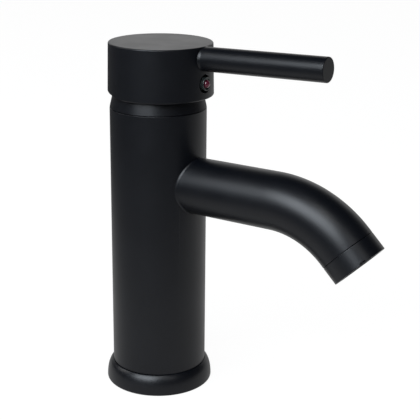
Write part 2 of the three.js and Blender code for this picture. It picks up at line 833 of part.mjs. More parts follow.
function handleCap() {
  const shell = turned([
    [0, rimZ],
    [capRadius - capRimEdge, rimZ],
    [capRadius, rimZ + capRimEdge],
    [capRadius, capTopZ - capTopEdge],
    [capRadius - capTopEdge, capTopZ],
    [0, capTopZ],
  ]);
  const roofZ = capTopZ - capRoof;
  const inside = capRadius - capWall;
  const hollow = turned([
    [0, rimZ - past],
    [inside, rimZ - past],
    [inside, roofZ - capRound],
    [inside - capRound, roofZ],
    [0, roofZ],
  ]);
  const cup = shell.subtract(hollow).translate([0, -capShift, 0]);
  const post = bar(postDiameter / 2, [0, 0, postZ], [0, 0, roofZ + past], middleSteps);
  const halfWeb = webWidth / 2;
  const web = box([-halfWeb, wallY + capWall / 2, postZ], [halfWeb, 0, roofZ + past]);
  const halfWidth = spindleWidth / 2 + gap;
  const halfDepth = spindleDepth / 2 + gap;
  const socket = box([-halfWidth, -halfDepth, postZ - past], [halfWidth, halfDepth, socketTopZ]);
  const relief = new THREE.BoxGeometry(2 * capDiameter, capDiameter, capHeight);
  relief.translate(0, capDiameter / 2, -capHeight / 2);
  relief.rotateX(THREE.MathUtils.degToRad(reliefAngle)).translate(0, 0, rimZ);
  const indexFloor = wallY + indexThickness + 2 * gap;
  const indexHole = bar(indexDiameter / 2, [0, wallY - past, indexZ], [0, indexFloor, indexZ], innerSteps);
  const screwHole = bar(setScrewDiameter / 2 + gap, [0, wallY, indexZ], [0, 0, indexZ]);
  const studHole = bar(leverStudDiameter / 2 + gap, onLever(past), onLever(-leverStudGrip - gap));
  return cutAll(joinAll(cup, post, web), socket, solidOf(relief), indexHole, screwHole, studHole);
}

function leverRod() {
  const radius = leverDiameter / 2;
  const profile = [
    [0, -leverRoot],
    [radius - leverNeck, -leverRoot],
    [radius - leverNeck, leverNeckLength - leverNeck],
    [radius, leverNeckLength],
    [radius, leverLength - leverTipEdge],
    [radius - leverTipEdge, leverLength],
    [0, leverLength],
  ].map(([r, along]) => new THREE.Vector2(r, along));
  // Turned about Y, pointing forward, then raised about the point where its axis leaves the cap.
  const geometry = new THREE.LatheGeometry(profile, middleSteps);
  geometry.rotateX(Math.PI).rotateX(-rise).translate(0, wallY, leverAxisZ);
  const capSpace = disc(capRadius + thinGap, rimZ, capTopZ + capHeight, fineSteps);
  const studHole = bar(leverStudDiameter / 2 + gap, onLever(-leverRoot), onLever(leverStudGrip + gap));
  return cutAll(solidOf(geometry), capSpace.translate([0, -capShift, 0]), studHole);
}

// The plug is set back to the edges of its hole in the round wall.
const indexFaceY = -capShift - Math.sqrt(capRadius ** 2 - (indexDiameter / 2) ** 2);

function alongY(profile, steps) {
  const points = profile.map(([radius, depth]) => new THREE.Vector2(radius, depth));
  return solidOf(new THREE.LatheGeometry(points, steps).translate(0, indexFaceY, indexZ));
}

function indexPlug() {
  const radius = indexDiameter / 2 - gap;
  const inner = radius - indexRimWidth;
  const dot = indexDotDiameter / 2 + thinGap;
  const seat = indexDish + indexDotSeat;
  return alongY([
    [0, seat],
    [dot, seat],
    [dot, indexDish],
    [inner, indexDish],
    [inner + indexRimSlope, 0],
    [radius, 0],
    [radius, indexThickness],
    [0, indexThickness],
  ], innerSteps);
}

// A low dome standing in the middle of the dished face.
function indexDot() {
  const radius = indexDotDiameter / 2;
  const back = indexDish + indexDotSeat - thinGap;
  const dome = new THREE.Path();
  dome.moveTo(0, back - indexDotHeight);
  dome.quadraticCurveTo(radius, back - indexDotHeight, radius, back - indexDotFoot);
  dome.lineTo(radius, back);
  dome.lineTo(0, back);
  return alongY(dome.getPoints(5).map((point) => [point.x, point.y]), coarseSteps);
}

function setScrew() {
  const tip = -spindleDepth / 2 - gap;
  const head = tip - setScrewLength;
  const blank = bar(setScrewDiameter / 2, [0, head, indexZ], [0, tip, indexZ]);
  const key = bar(setScrewHex / Math.sqrt(3), [0, head - past, indexZ], [0, head + setScrewHex, indexZ], 6);
  return blank.subtract(key);
}

piece('spindle', spindle(), steel, handle);
piece('handle_cap', handleCap(), blackCoat, handle);
piece('lever_rod', leverRod(), blackCoat, handle);
const leverStud = bar(leverStudDiameter / 2, onLever(leverStudGrip), onLever(-leverStudGrip));
piece('lever_stud', leverStud, steel, handle);
piece('set_screw', setScrew(), steel, handle);
piece('index_plug', indexPlug(), greyPlastic, handle);
piece('index_dot', indexDot(), redPlastic, handle);

export default mixer;
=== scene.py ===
# Looks of the single-lever basin mixer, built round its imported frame.
# Metres, +Z up, spout and lever towards -Y.
import json
import math

import bmesh
import bpy
from mathutils import Matrix, Vector


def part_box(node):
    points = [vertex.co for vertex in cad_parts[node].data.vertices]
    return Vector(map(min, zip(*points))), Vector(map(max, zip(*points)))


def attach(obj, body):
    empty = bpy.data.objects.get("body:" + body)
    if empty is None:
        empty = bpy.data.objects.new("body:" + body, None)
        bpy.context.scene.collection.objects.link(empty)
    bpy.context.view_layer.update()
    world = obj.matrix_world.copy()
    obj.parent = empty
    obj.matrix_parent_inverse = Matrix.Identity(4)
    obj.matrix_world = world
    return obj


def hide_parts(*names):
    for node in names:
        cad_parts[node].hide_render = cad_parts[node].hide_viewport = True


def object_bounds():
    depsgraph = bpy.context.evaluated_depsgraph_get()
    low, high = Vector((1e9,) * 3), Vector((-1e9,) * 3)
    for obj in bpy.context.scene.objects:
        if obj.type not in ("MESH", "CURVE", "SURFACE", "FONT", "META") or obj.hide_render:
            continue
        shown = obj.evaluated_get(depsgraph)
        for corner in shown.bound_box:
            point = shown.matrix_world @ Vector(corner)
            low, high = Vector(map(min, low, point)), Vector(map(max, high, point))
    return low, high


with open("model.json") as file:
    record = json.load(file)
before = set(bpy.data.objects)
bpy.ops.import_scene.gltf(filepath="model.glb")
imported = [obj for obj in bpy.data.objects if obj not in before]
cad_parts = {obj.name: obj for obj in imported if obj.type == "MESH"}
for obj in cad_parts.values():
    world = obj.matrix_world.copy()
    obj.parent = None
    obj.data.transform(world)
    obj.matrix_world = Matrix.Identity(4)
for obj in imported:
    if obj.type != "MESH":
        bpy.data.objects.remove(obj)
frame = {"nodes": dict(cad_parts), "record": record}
cadLow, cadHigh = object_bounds()
mm = 0.001
up = Vector((0, 0, 1))
toFront = (math.radians(90), 0, 0)  # turns +Z to the front
mergeWithin = 0.0005 * mm  # points nearer than this become one
shading = {"smoothAngle": 32, "normalWeight": 60}


# Working with the mesh tools

def deselectAll():
    if bpy.context.object and bpy.context.object.mode != "OBJECT":
        bpy.ops.object.mode_set(mode="OBJECT")
    bpy.ops.object.select_all(action="DESELECT")


def activate(piece):
    deselectAll()
    piece.select_set(True)
    bpy.context.view_layer.objects.active = piece


def enterEdit(piece, selectMode="EDGE"):
    activate(piece)
    bpy.ops.object.mode_set(mode="EDIT")
    bpy.ops.mesh.select_mode(type=selectMode)
    bpy.ops.mesh.select_all(action="DESELECT")


def leaveEdit():
    bpy.ops.mesh.select_all(action="SELECT")
    bpy.ops.mesh.remove_doubles(threshold=mergeWithin)
    bpy.ops.mesh.normals_make_consistent(inside=False)
    bpy.ops.object.mode_set(mode="OBJECT")


def pickOpenEdges(piece, test):
    bpy.ops.mesh.select_all(action="DESELECT")
    mesh = bmesh.from_edit_mesh(piece.data)
    for edge in mesh.edges:
        if edge.is_boundary:
            edge.select_set(all(test(vert.co) for vert in edge.verts))
    bmesh.update_edit_mesh(piece.data)


def pickFaces(piece, test):
    bpy.ops.mesh.select_all(action="DESELECT")
    mesh = bmesh.from_edit_mesh(piece.data)
    for face in mesh.faces:
        face.select_set(test(face.calc_center_median(), face.normal))
    bmesh.update_edit_mesh(piece.data)


def newPiece(name):
    piece = bpy.context.active_object
    piece.name = name
    piece.data.name = name
    return piece


def settle():
    # Puts the place, turn and size of what is selected into its mesh
    bpy.ops.object.transform_apply(location=True, rotation=True, scale=True)


def place(piece, location=(0, 0, 0), turn=(0, 0, 0)):
    activate(piece)
    piece.location = location
    piece.rotation_euler = turn
    settle()


def newRing(name, steps, radius, location, turn=(0, 0, 0)):
    deselectAll()
    bpy.ops.mesh.primitive_circle_add(
        vertices=steps, radius=radius, location=location, rotation=turn,
    )
    ring = newPiece(name)
    settle()
    return ring


def drawAlong(profile, start, direction):
    # Extrudes the selected flat ring through (radius, distance from start) points
    radius, distance = profile[0]
    for nextRadius, nextDistance in profile[1:]:
        shift = direction * (nextDistance - distance)
        bpy.ops.mesh.extrude_region_move(TRANSFORM_OT_translate={"value": shift})
        grow = nextRadius / radius
        middle = start + direction * nextDistance
        bpy.ops.transform.resize(value=(grow, grow, grow), center_override=middle)
        radius, distance = nextRadius, nextDistance


def closeEnds(joined):
    # Joins the two open loops, or fills each of them
    bpy.ops.mesh.select_all(action="DESELECT")
    bpy.ops.mesh.select_non_manifold()
    if joined:
        bpy.ops.mesh.bridge_edge_loops()
    else:
        bpy.ops.mesh.fill_holes(sides=0)


def turnedPiece(name, profile, steps, closed=False):
    # A circle drawn up Z through (radius, height) points; closed leads it back to its start
    radius, height = profile[0]
    piece = newRing(name, steps, radius, (0, 0, height))
    enterEdit(piece)
    bpy.ops.mesh.select_all(action="SELECT")
    drawAlong(profile, Vector(), up)
    closeEnds(closed)
    leaveEdit()
    return piece


def arcPoints(middle, radius, start, end, count):
    points = []
    for i in range(count + 1):
        angle = math.radians(start + (end - start) * i / count)
        points.append((middle[0] + radius * math.cos(angle), middle[1] + radius * math.sin(angle)))
    return points


def curvePoints(start, handle, end, count):
    # A quadratic curve from start to end, without its first point
    points = []
    for i in range(1, count + 1):
        t = i / count
        weights = ((1 - t) ** 2, 2 * t * (1 - t), t * t)
        corners = (start, handle, end)
        points.append(tuple(sum(w * p[k] for w, p in zip(weights, corners)) for k in (0, 1)))
    return points


def applyModifier(piece, kind, **settings):
    modifier = piece.modifiers.new(kind.lower(), kind)
    for key, value in settings.items():
        setattr(modifier, key, value)
    activate(piece)
    bpy.ops.object.modifier_apply(modifier=modifier.name)


def combine(piece, other, operation):
    applyModifier(piece, "BOOLEAN", operation=operation, solver="EXACT", object=other)
    bpy.data.objects.remove(other)


def roundEdges(piece, width, segments=3, angle=30, clamp=True):
    applyModifier(
        piece, "BEVEL", width=width, segments=segments, limit_method="ANGLE",
        angle_limit=math.radians(angle), use_clamp_overlap=clamp,
    )


def block(name, low, high):
    size = [b - a for a, b in zip(low, high)]
    middle = [(a + b) / 2 for a, b in zip(low, high)]
    deselectAll()
    bpy.ops.mesh.primitive_cube_add(size=1, location=middle)
    piece = newPiece(name)
    piece.scale = size
    settle()
    return piece


def dress(piece, slot, body, *nodes):
    # Shading, finish and place in the frame
    activate(piece)
    bpy.ops.object.shade_smooth_by_angle(angle=math.radians(shading["smoothAngle"]))
    applyModifier(piece, "WEIGHTED_NORMAL", keep_sharp=True, weight=shading["normalWeight"])
    piece.data.materials.clear()
    piece.data.materials.append(material[slot])
    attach(piece, body)
    if nodes:
        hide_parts(*nodes)


# Working with shader nodes

def setSocket(tree, socket, value):
    # A number is set on the socket, and another node's output is linked to it
    if isinstance(value, (int, float)):
        socket.default_value = value
    else:
        tree.links.new(value, socket)


def mathNode(tree, operation, *values):
    node = tree.nodes.new("ShaderNodeMath")
    node.operation = operation
    for socket, value in zip(node.inputs, values):
        setSocket(tree, socket, value)
    return node.outputs[0]


def rangeNode(tree, value, low, high, start, end, kind="SMOOTHSTEP"):
    node = tree.nodes.new("ShaderNodeMapRange")
    node.interpolation_type = kind
    labels = ("Value", "From Min", "From Max", "To Min", "To Max")
    for label, setting in zip(labels, (value, low, high, start, end)):
        setSocket(tree, node.inputs[label], setting)
    return node.outputs["Result"]


# Camera, floor and light

cameraView = {
    "place": (-0.4260, -0.2979, 0.2554),
    "heading": -57.79,  # this and the next two in degrees
    "tilt": 17.89,
    "roll": 0.61,
    "lens": 95.97,
    "sensor": 36,
    "clipStart": 0.01,
}


def makeCamera():
    camera = bpy.data.objects.new("camera", bpy.data.cameras.new("camera"))
    bpy.context.scene.collection.objects.link(camera)
    camera.data.lens = cameraView["lens"]
    camera.data.sensor_width = cameraView["sensor"]
    camera.data.clip_start = cameraView["clipStart"]
    turn = Matrix.Rotation(math.radians(cameraView["heading"]), 4, "Z")
    turn @= Matrix.Rotation(math.radians(90 - cameraView["tilt"]), 4, "X")
    turn @= Matrix.Rotation(math.radians(cameraView["roll"]), 4, "Z")
    camera.matrix_world = Matrix.Translation(cameraView["place"]) @ turn
    bpy.context.scene.camera = camera


studio = {
    "floorSize": 12,
    "floorDrop": 0.05 * mm,  # below the mixer's foot
    "floorColor": (0.8, 0.8, 0.8, 1),
    "floorWhite": (0.88, 1.08),  # share and strength of plain white; the rest holds the shadow
    "paintedPoolLevel": 0.6,  # painted light: in reflections the floor is a painted pool of light round the mixer, which fades between these distances, to the last value, reaches further in this heading, and has painted shade close round the foot
    "paintedPoolFade": (0.02, 0.46, 0.1),  # which fades between these distances, to the last value,
    "paintedPoolStretch": (345, 0.8),  # reaches further in this heading,
    "paintedFootShade": (0.03, 0.1, 0.85),  # and is dimmer close round the foot
    "worldLight": 0.24,
    "ceiling": (0.40, 0.66, 0.05),  # where the white surround fades upwards, and what is left
    "darkRoom": (208, -0.95, -0.5, 0.06),  # behind the camera: its heading, fade and what is left
    "surround": 0.8,
    "lampAim": (0, -0.03, 0.09),
    "lampDistance": 1.6,
}
# Azimuths and heights are in degrees; a gloss-only lamp shows in reflections alone
lamps = [
    {"name": "keyBox", "azimuth": 179, "height": 38, "size": (1.4, 0.82), "power": 16,
     "color": (0.91, 0.98, 1.05), "glossOnly": False},
    {"name": "keySheen", "azimuth": 178, "height": 35, "size": (1.25, 1.15), "power": 17,
     "color": (0.91, 0.98, 1.05), "glossOnly": True},
    {"name": "leftBox", "azimuth": 112, "height": 32, "size": (0.5, 0.8), "power": 4,
     "color": (1, 1, 1), "glossOnly": False},
    {"name": "frontBox", "azimuth": 214, "height": 60, "size": (0.4, 0.5), "power": 2,
     "color": (1, 1, 1), "glossOnly": False},
    {"name": "rightBox", "azimuth": 240, "height": 36, "size": (0.6, 0.6), "power": 1.5,
     "color": (1, 1, 1), "glossOnly": False},
]


def seenByEye(tree):
    # What the eye meets directly or in gloss and glass
    path = tree.nodes.new("ShaderNodeLightPath")
    seen = path.outputs["Is Camera Ray"]
    for ray in ("Is Glossy Ray", "Is Transmission Ray"):
        seen = mathNode(tree, "MAXIMUM", seen, path.outputs[ray])
    return seen


def orDirect(tree, brightness):
    # The camera itself sees plain white
    path = tree.nodes.new("ShaderNodeLightPath")
    return mathNode(tree, "MAXIMUM", path.outputs["Is Camera Ray"], brightness)


def fadeNode(tree, value, low, high, remains):
    return rangeNode(tree, value, low, high, 1, remains)


def towards(tree, point, heading):
    # How far a point or a direction lies in a heading
    turn = math.radians(heading)
    along = tree.nodes.new("ShaderNodeVectorMath")
    along.operation = "DOT_PRODUCT"
    tree.links.new(point, along.inputs[0])
    along.inputs[1].default_value = (math.cos(turn), math.sin(turn), 0)
    return along.outputs["Value"]


def mixShaders(tree, share, first, second, outputKind):
    mix = tree.nodes.new("ShaderNodeMixShader")
    for socket, value in zip(mix.inputs, (share, first.outputs[0], second.outputs[0])):
        tree.links.new(value, socket)
    output = tree.nodes.new(outputKind)
    tree.links.new(mix.outputs[0], output.inputs["Surface"])


def makeFloor():
    deselectAll()
    bpy.ops.mesh.primitive_plane_add(
        size=studio["floorSize"], location=(0, 0, cadLow.z - studio["floorDrop"]),
    )
    floor = newPiece("floor")
    surface = bpy.data.materials.new("floorPaper")
    surface.use_nodes = True
    tree = surface.node_tree
    tree.nodes.clear()
    paper = tree.nodes.new("ShaderNodeBsdfDiffuse")
    paper.inputs["Color"].default_value = studio["floorColor"]
    white = tree.nodes.new("ShaderNodeEmission")
    whiteShare, whiteStrength = studio["floorWhite"]
    point = tree.nodes.new("ShaderNodeTexCoord").outputs["Object"]
    length = tree.nodes.new("ShaderNodeVectorMath")
    length.operation = "LENGTH"
    tree.links.new(point, length.inputs[0])
    reach = length.outputs["Value"]
    # Painted pool of light: in reflections the floor is brighter round the mixer, further in one
    # heading, and fades away from it
    heading, stretch = studio["paintedPoolStretch"]
    along = mathNode(tree, "MAXIMUM", towards(tree, point, heading), 0)
    away = mathNode(tree, "SUBTRACT", reach, mathNode(tree, "MULTIPLY", along, stretch))
    dimmed = fadeNode(tree, away, *studio["paintedPoolFade"])
    # Painted shade: in reflections the floor is dimmer close round the foot
    near, far, shade = studio["paintedFootShade"]
    paintedShade = fadeNode(tree, reach, far, near, shade)
    paintedPool = mathNode(tree, "MULTIPLY", dimmed, paintedShade)
    gloss = mathNode(tree, "MULTIPLY", paintedPool, studio["paintedPoolLevel"])
    brightness = mathNode(tree, "MULTIPLY", orDirect(tree, gloss), whiteStrength)
    tree.links.new(brightness, white.inputs["Strength"])
    share = mathNode(tree, "MULTIPLY", seenByEye(tree), whiteShare)
    mixShaders(tree, share, paper, white, "ShaderNodeOutputMaterial")
    floor.data.materials.append(surface)


def makeWorld():
    # White to the eye; reflections also meet the dark ceiling and the dark room behind the camera
    world = bpy.data.worlds.new("studio")
    bpy.context.scene.world = world
    world.use_nodes = True
    tree = world.node_tree
    tree.nodes.clear()
    light = tree.nodes.new("ShaderNodeBackground")
    light.inputs["Color"].default_value = (1, 1, 1, 1)
    light.inputs["Strength"].default_value = studio["worldLight"]
    surround = tree.nodes.new("ShaderNodeBackground")
    surround.inputs["Color"].default_value = (1, 1, 1, 1)
    direction = tree.nodes.new("ShaderNodeTexCoord").outputs["Generated"]
    parts = tree.nodes.new("ShaderNodeSeparateXYZ")
    tree.links.new(direction, parts.inputs[0])
    ceiling = fadeNode(tree, parts.outputs["Z"], *studio["ceiling"])
    heading, *roomFade = studio["darkRoom"]
    room = fadeNode(tree, towards(tree, direction, heading), *roomFade)
    dimmed = mathNode(tree, "MULTIPLY", ceiling, room)
    brightness = mathNode(tree, "MULTIPLY", dimmed, studio["surround"])
    tree.links.new(orDirect(tree, brightness), surround.inputs["Strength"])
    mixShaders(tree, seenByEye(tree), light, surround, "ShaderNodeOutputWorld")


def makeLamps():
    for lamp in lamps:
        data = bpy.data.lights.new(lamp["name"], "AREA")
        data.shape = "RECTANGLE"
        data.size, data.size_y = lamp["size"]
        data.energy, data.color = lamp["power"], lamp["color"]
        box = bpy.data.objects.new(lamp["name"], data)
        bpy.context.scene.collection.objects.link(box)
        azimuth, height = math.radians(lamp["azimuth"]), math.radians(lamp["height"])
        level = math.cos(height)
        out = Vector((math.cos(azimuth) * level, math.sin(azimuth) * level, math.sin(height)))
        box.location = Vector(studio["lampAim"]) + out * studio["lampDistance"]
        box.rotation_euler = out.to_track_quat("Z", "Y").to_euler()
        box.visible_diffuse = not lamp["glossOnly"]


bpy.context.scene.view_settings.view_transform = "Standard"
makeCamera()
makeFloor()
makeWorld()
makeLamps()
print("camera, floor and light are set")


# Effects that several finishes share

noiseSpan = (0.3, 0.7)  # what most of a noise lies between
patches = {"scale": 60, "detail": 4.0, "roughness": 0.6}
speckSpan = (0.68, 0.76)  # from where to where a grain grows into a speck


def newGroup(name, inputs, outputs):
    kinds = {"Vector": "NodeSocketVector", "Color": "NodeSocketColor"}
    group = bpy.data.node_groups.new(name, "ShaderNodeTree")
    for label, value in inputs.items():
        if isinstance(value, tuple):
            kind = kinds["Vector"] if len(value) == 3 else kinds["Color"]
        else:
            kind = "NodeSocketFloat"
        socket = group.interface.new_socket(name=label, in_out="INPUT", socket_type=kind)
        socket.default_value = value
    for label in outputs:
        kind = kinds.get(label, "NodeSocketFloat")
        group.interface.new_socket(name=label, in_out="OUTPUT", socket_type=kind)
    return group, group.nodes.new("NodeGroupInput"), group.nodes.new("NodeGroupOutput")


def noiseNode(tree, coordinates, scale, detail, roughness=0.5):
    noise = tree.nodes.new("ShaderNodeTexNoise")
    noise.inputs["Detail"].default_value = detail
    noise.inputs["Roughness"].default_value = roughness
    setSocket(tree, noise.inputs["Scale"], scale)
    tree.links.new(coordinates, noise.inputs["Vector"])
    return noise.outputs[0]


def mixColors(tree, share, first, second):
    mix = tree.nodes.new("ShaderNodeMix")
    mix.data_type = "RGBA"
    for label, value in (("Factor", share), ("A", first), ("B", second)):
        tree.links.new(value, mix.inputs[label])
    return mix.outputs["Result"]


# Sprayed or moulded skin: fine pimples over a slow swell
def makeSkinGrain():
    tree, entry, result = newGroup("skinGrain", {
        "Vector": (0, 0, 0),
        "Fine Scale": 2500,
        "Swell Scale": 320,
        "Swell Share": 0.4,
        "Roughness Low": 0.4,
        "Roughness High": 0.5,
    }, ("Height", "Roughness"))
    given = entry.outputs
    fine = noiseNode(tree, given["Vector"], given["Fine Scale"], 2.0)
    swell = noiseNode(tree, given["Vector"], given["Swell Scale"], 1.0)
    height = mathNode(tree, "MULTIPLY_ADD", swell, given["Swell Share"], fine)
    tree.links.new(height, result.inputs["Height"])
    patch = noiseNode(
        tree, given["Vector"], patches["scale"], patches["detail"], patches["roughness"],
    )
    spread = rangeNode(tree, patch, *noiseSpan, given["Roughness Low"], given["Roughness High"])
    tree.links.new(spread, result.inputs["Roughness"])
    return tree


# Colour that drifts between two close tones, with a few specks
def makeToneDrift():
    tree, entry, result = newGroup("toneDrift", {
        "Vector": (0, 0, 0),
        "Tone": (0.5, 0.5, 0.5, 1),
        "Other Tone": (0.6, 0.6, 0.6, 1),
        "Speck": (0.7, 0.7, 0.7, 1),
        "Drift Scale": 45,
        "Speck Scale": 1400,
        "Speck Share": 0.15,
    }, ("Color",))
    given = entry.outputs
    drift = noiseNode(tree, given["Vector"], given["Drift Scale"], 4.0, 0.55)
    share = rangeNode(tree, drift, *noiseSpan, 0, 1)
    tone = mixColors(tree, share, given["Tone"], given["Other Tone"])
    grains = noiseNode(tree, given["Vector"], given["Speck Scale"], 1.0)
    spots = rangeNode(tree, grains, *speckSpan, 0, given["Speck Share"])
    tree.links.new(mixColors(tree, spots, tone, given["Speck"]), result.inputs["Color"])
    return tree


# Fine lines left by the lathe, as rings round Z
def makeLatheLines():
    tree, entry, result = newGroup("latheLines", {
        "Vector": (0, 0, 0),
        "Line Scale": 3000,
        "Roughness Low": 0.3,
        "Roughness High": 0.42,
    }, ("Height", "Roughness"))
    given = entry.outputs
    parts = tree.nodes.new("ShaderNodeSeparateXYZ")
    tree.links.new(given["Vector"], parts.inputs[0])
    x, y, z = parts.outputs
    squares = mathNode(tree, "MULTIPLY_ADD", y, y, mathNode(tree, "MULTIPLY", x, x))
    radius = mathNode(tree, "SQRT", squares)
    along = tree.nodes.new("ShaderNodeCombineXYZ")
    tree.links.new(mathNode(tree, "ADD", radius, z), along.inputs["X"])
    lines = noiseNode(tree, along.outputs[0], given["Line Scale"], 2.0)
    tree.links.new(lines, result.inputs["Height"])
    spread = rangeNode(
        tree, lines, *noiseSpan, given["Roughness Low"], given["Roughness High"], "LINEAR",
    )
    tree.links.new(spread, result.inputs["Roughness"])
    return tree


groups = {"skin": makeSkinGrain(), "tone": makeToneDrift(), "lathe": makeLatheLines()}


# Finishes

def placeGroup(tree, group, coordinates, values):
    node = tree.nodes.new("ShaderNodeGroup")
    node.node_tree = group
    tree.links.new(coordinates, node.inputs["Vector"])
    for label, value in values.items():
        node.inputs[label].default_value = value
    return node


def makeFinish(name, settings):
    surface = bpy.data.materials.new(name)
    surface.use_nodes = True
    tree = surface.node_tree
    shader = tree.nodes["Principled BSDF"]
    for label, value in settings["shader"].items():
        shader.inputs[label].default_value = value
    coordinates = tree.nodes.new("ShaderNodeTexCoord").outputs["Object"]
    tone = placeGroup(tree, groups["tone"], coordinates, settings["tone"])
    tree.links.new(tone.outputs["Color"], shader.inputs["Base Color"])
    relief = placeGroup(tree, groups[settings["relief"]], coordinates, settings["reliefValues"])
    tree.links.new(relief.outputs["Roughness"], shader.inputs["Roughness"])
    bump = tree.nodes.new("ShaderNodeBump")
    strength, distance = settings["bump"]
    bump.inputs["Strength"].default_value = strength
    bump.inputs["Distance"].default_value = distance
    tree.links.new(relief.outputs["Height"], bump.inputs["Height"])
    tree.links.new(bump.outputs["Normal"], shader.inputs["Normal"])
    return surface


def tones(first, other, speck):
    return {"Tone": (*first, 1), "Other Tone": (*other, 1), "Speck": (*speck, 1)}


def roughnessFrom(low, high):
    return {"Roughness Low": low, "Roughness High": high}


finishes = {
    "black_coat": {
        "shader": {"Specular IOR Level": 0.38},
        "tone": tones((0.0024, 0.0032, 0.0056), (0.0034, 0.0043, 0.0070), (0.012, 0.0135, 0.016)),
        "relief": "skin",
        "reliefValues": roughnessFrom(0.33, 0.37),
        "bump": (0.25, 0.02 * mm),
    },
    "brass": {
        "shader": {"Metallic": 1.0},
        "tone": tones((0.45, 0.30, 0.11), (0.52, 0.36, 0.15), (0.2, 0.13, 0.05)),
        "relief": "lathe",
        "reliefValues": roughnessFrom(0.28, 0.42),
        "bump": (0.35, 0.02 * mm),
    },
    "copper": {
        "shader": {"Metallic": 1.0},
        "tone": tones((0.55, 0.25, 0.14), (0.48, 0.21, 0.11), (0.2, 0.09, 0.05)),
        "relief": "lathe",
        "reliefValues": roughnessFrom(0.25, 0.38),
        "bump": (0.2, 0.01 * mm),
    },
    "steel": {
        "shader": {"Metallic": 1.0},
        "tone": tones((0.46, 0.47, 0.48), (0.54, 0.55, 0.56), (0.25, 0.25, 0.26)),
        "relief": "lathe",
        "reliefValues": roughnessFrom(0.22, 0.36),
        "bump": (0.25, 0.015 * mm),
    },
    "black_rubber": {
        "shader": {"Specular IOR Level": 0.3},
        "tone": tones((0.014, 0.014, 0.015), (0.02, 0.02, 0.021), (0.05, 0.05, 0.05)),
        "relief": "skin",
        "reliefValues": {**roughnessFrom(0.7, 0.88), "Fine Scale": 1800},
        "bump": (0.5, 0.05 * mm),
    },
    "black_plastic": {
        "shader": {"Specular IOR Level": 0.4},
        "tone": tones((0.016, 0.016, 0.018), (0.022, 0.022, 0.024), (0.06, 0.06, 0.06)),
        "relief": "skin",
        "reliefValues": roughnessFrom(0.45, 0.55),
        "bump": (0.3, 0.02 * mm),
    },
    "white_plastic": {
        "shader": {"Specular IOR Level": 0.45},
        "tone": tones((0.74, 0.74, 0.70), (0.79, 0.79, 0.75), (0.6, 0.6, 0.55)),
        "relief": "skin",
        "reliefValues": roughnessFrom(0.38, 0.5),
        "bump": (0.25, 0.02 * mm),
    },
    "grey_plastic": {
        "shader": {"Specular IOR Level": 0.6},
        "tone": tones((0.022, 0.027, 0.027), (0.03, 0.036, 0.036), (0.06, 0.065, 0.065)),
        "relief": "skin",
        "reliefValues": roughnessFrom(0.16, 0.22),
        "bump": (0.1, 0.01 * mm),
    },
    "red_plastic": {
        "shader": {"Specular IOR Level": 0.6, "Coat Weight": 0.5, "Coat Roughness": 0.2},
        "tone": tones((0.10, 0.004, 0.022), (0.14, 0.006, 0.03), (0.2, 0.03, 0.06)),
        "relief": "skin",
        "reliefValues": roughnessFrom(0.24, 0.3),
        "bump": (0.1, 0.01 * mm),
    },
    "ceramic": {
        "shader": {"Specular IOR Level": 0.5},
        "tone": tones((0.83, 0.82, 0.78), (0.87, 0.86, 0.82), (0.7, 0.69, 0.66)),
        "relief": "skin",
        "reliefValues": roughnessFrom(0.1, 0.16),
        "bump": (0.05, 0.01 * mm),
    },
}
material = {}
for slot, settings in finishes.items():
    first, *others = slot.split("_")
    material[slot] = makeFinish(first + "".join(word.title() for word in others), settings)

for row in frame["record"]["subparts"]:
    for materialSlot in frame["nodes"][row["node"]].material_slots:
        materialSlot.material = material[row["material_slot"]]
print("finishes are made:", len(material))


# Body and foot

fit = 0.3 * mm  # clearance between neighbouring pieces
over = 1 * mm  # how far a cutter reaches past what it cuts, and a joined piece into the other
past = 5 * mm  # the same where the surface is round or leans
formSteps = 720  # for smooth forms that other pieces are fitted to
holeSteps = 96
boreSteps = 64  # for the smaller holes
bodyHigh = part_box("body_column")[1]
bodyRadius = bodyHigh.x
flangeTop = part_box("base_flange")[1].z
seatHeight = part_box("valve_block")[1].z + fit
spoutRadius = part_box("aerator_ring")[1].x
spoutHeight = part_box("spout_tube")[1].z - spoutRadius

body = {
    "steps": 160,
    "bore": 19.5 * mm,
    "footRadius": 21.5 * mm,
    "cavityRadius": 17.8 * mm,
    "cavityTop": 133.0 * mm,
    "threadRadius": 18.6 * mm,
    "counterbore": (20.3 * mm, 2 * mm),  # radius and depth
    "edge": 0.22 * mm,
    "spigotHole": (12.7 * mm, 20 * mm),  # radius, and how far from the body's axis it ends
    "flowHole": 4.3 * mm,
    "footGap": 0.12 * mm,
}


def makeBody():
    shoulder = flangeTop + body["footGap"]
    counterRadius, counterDepth = body["counterbore"]
    piece = turnedPiece("bodyColumn", [
        (body["bore"], 0),
        (body["footRadius"], 0),
        (body["footRadius"], shoulder),
        (bodyRadius, shoulder),
        (bodyRadius, bodyHigh.z),
        (counterRadius, bodyHigh.z),
        (counterRadius, bodyHigh.z - counterDepth),
        (body["threadRadius"], bodyHigh.z - counterDepth),
        (body["threadRadius"], body["cavityTop"]),
        (body["cavityRadius"], body["cavityTop"]),
        (body["cavityRadius"], seatHeight),
        (body["bore"], seatHeight),
    ], body["steps"], closed=True)
    roundEdges(piece, body["edge"])
    holeRadius, holeFloor = body["spigotHole"]
    for radius, depth in ((holeRadius, holeFloor), (body["flowHole"], body["bore"] / 2)):
        hole = turnedPiece("hole", [(radius, depth), (radius, 2 * bodyRadius)], holeSteps)
        place(hole, (0, 0, spoutHeight), toFront)
        combine(piece, hole, "DIFFERENCE")
    dress(piece, "black_coat", "mixer_body", "body_column")


foot = {
    "steps": 160,
    "bore": 21.8 * mm,
    "round": 1.1 * mm,
    "topRadius": 23.4 * mm,
    "belly": (0.1 * mm, 7.6 * mm),  # how far in, and how high, the side's curve leans
    "groove": (22.3 * mm, 24.3 * mm, 1.9 * mm),  # for the seal: both radii and the depth
    "edge": 0.15 * mm,
}


